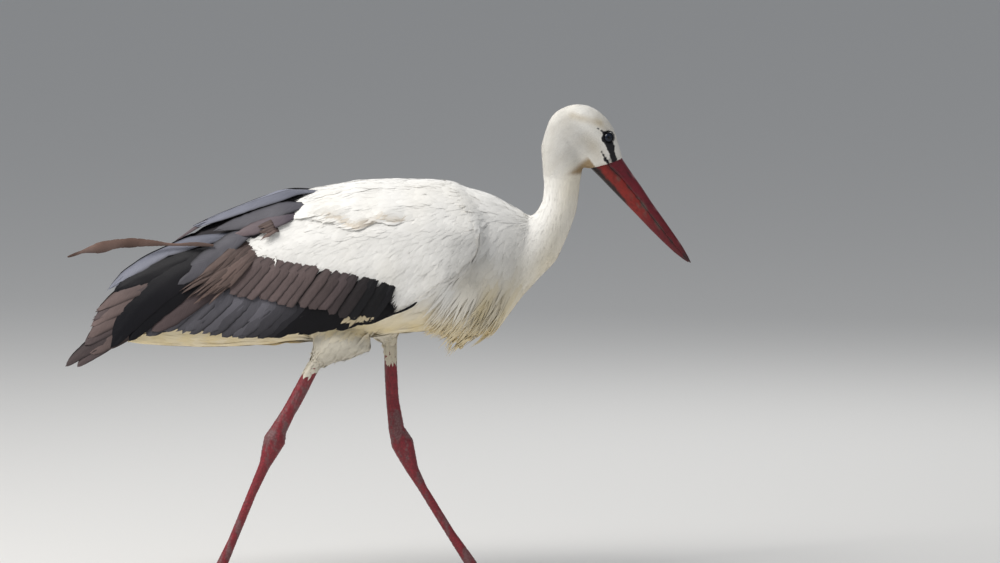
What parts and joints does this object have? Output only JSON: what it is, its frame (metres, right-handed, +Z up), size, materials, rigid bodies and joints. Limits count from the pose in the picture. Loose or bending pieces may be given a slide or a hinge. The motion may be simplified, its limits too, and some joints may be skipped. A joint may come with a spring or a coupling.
{
  "type": "white stork",
  "caption": "Life-size white stork, walking with neck drawn back and bill pointing down, wings folded; a still display model of the whole bird.",
  "frame": {"origin": "on the floor, under the middle of the bird's length from bill tip to the trailing feather's tip", "axes": "+X forwards, the way the bird walks, +Y to its left, +Z up"},
  "size_m": [0.8674, 0.188, 0.6651],
  "materials": {
    "plumage_white": "soft matt white feathers, creamy in places",
    "plumage_cream": "soft matt cream feathers",
    "plumage_tail": "matt white tail feathers",
    "wing_black": "black flight feathers with a slight gloss",
    "wing_brown": "worn brown-black feathers, matt with a dull sheen",
    "wing_slate": "slate-black flight feathers with a greyish bloom",
    "bill_red": "red horn, satin, darker and dirty at the tip",
    "eye_dark": "dark wet eye in bare black skin",
    "leg_red": "scaly dull red skin with dry grey dirt",
    "claw_horn": "dark brown horn"
  },
  "bodies": {
    "root": {"head": "plumage_white", "neck_upper": "plumage_white", "neck_lower": "plumage_white", "breast": "plumage_white", "trunk": "plumage_white", "thigh_right": "plumage_white", "thigh_left": "plumage_white", "wing_right_coverts": "plumage_white", "wing_left_coverts": "plumage_white", "tail_coverts": "plumage_cream", "tail": "plumage_tail", "wing_right_tertials": "wing_black", "wing_left_tertials": "wing_black", "wing_right_primaries": "wing_black", "wing_left_primaries": "wing_black", "wing_right_greater_coverts": "wing_brown", "wing_left_greater_coverts": "wing_brown", "loose_feather": "wing_brown", "wing_right_secondaries": "wing_slate", "wing_left_secondaries": "wing_slate", "bill_upper": "bill_red", "bill_lower": "bill_red", "eye_right": "eye_dark", "eye_left": "eye_dark", "shank_right": "leg_red", "tarsus_right": "leg_red", "foot_right": "leg_red", "shank_left": "leg_red", "tarsus_left": "leg_red", "foot_left": "leg_red", "toe_right_inner": "leg_red", "toe_right_middle": "leg_red", "toe_right_outer": "leg_red", "toe_right_back": "leg_red", "toe_left_inner": "leg_red", "toe_left_middle": "leg_red", "toe_left_outer": "leg_red", "toe_left_back": "leg_red", "claw_right_inner": "claw_horn", "claw_right_middle": "claw_horn", "claw_right_outer": "claw_horn", "claw_right_back": "claw_horn", "claw_left_inner": "claw_horn", "claw_left_middle": "claw_horn", "claw_left_outer": "claw_horn", "claw_left_back": "claw_horn"}
  },
  "joints": []
}
